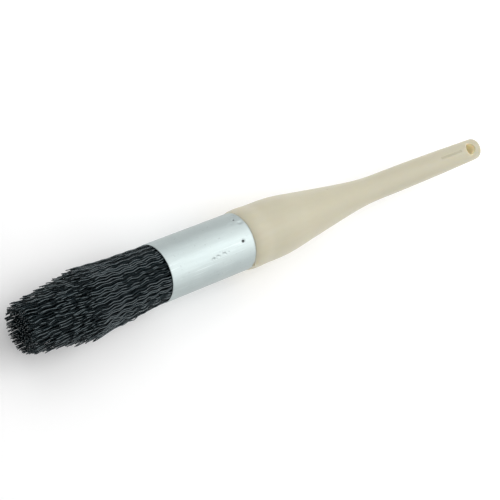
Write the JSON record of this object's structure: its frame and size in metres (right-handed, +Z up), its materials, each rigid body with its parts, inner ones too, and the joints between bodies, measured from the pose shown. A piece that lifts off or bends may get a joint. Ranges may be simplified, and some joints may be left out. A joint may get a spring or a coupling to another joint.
{
  "type": "parts cleaning brush",
  "caption": "Round parts-cleaning brush: stiff crimped filaments trimmed to a blunt cone, cast in a staked metal ferrule on a tapered plastic handle with a hanging hole.",
  "frame": {"origin": "under the middle of the brush's length, on the surface that the brush lies on", "axes": "+X from the filament tips to the butt of the handle, +Y across the brush, +Z up and along the hanging hole"},
  "size_m": [0.2924, 0.0332, 0.0333],
  "materials": {
    "cream_plastic": "moulded, low sheen",
    "satin_metal": "satin, drawn tube",
    "black_nylon": "crimped black filament, low sheen",
    "amber_resin": "cast"
  },
  "bodies": {
    "root": {"handle": "cream_plastic", "ferrule": "satin_metal", "bristle_fill": "black_nylon", "resin_set": "amber_resin"}
  },
  "joints": []
}
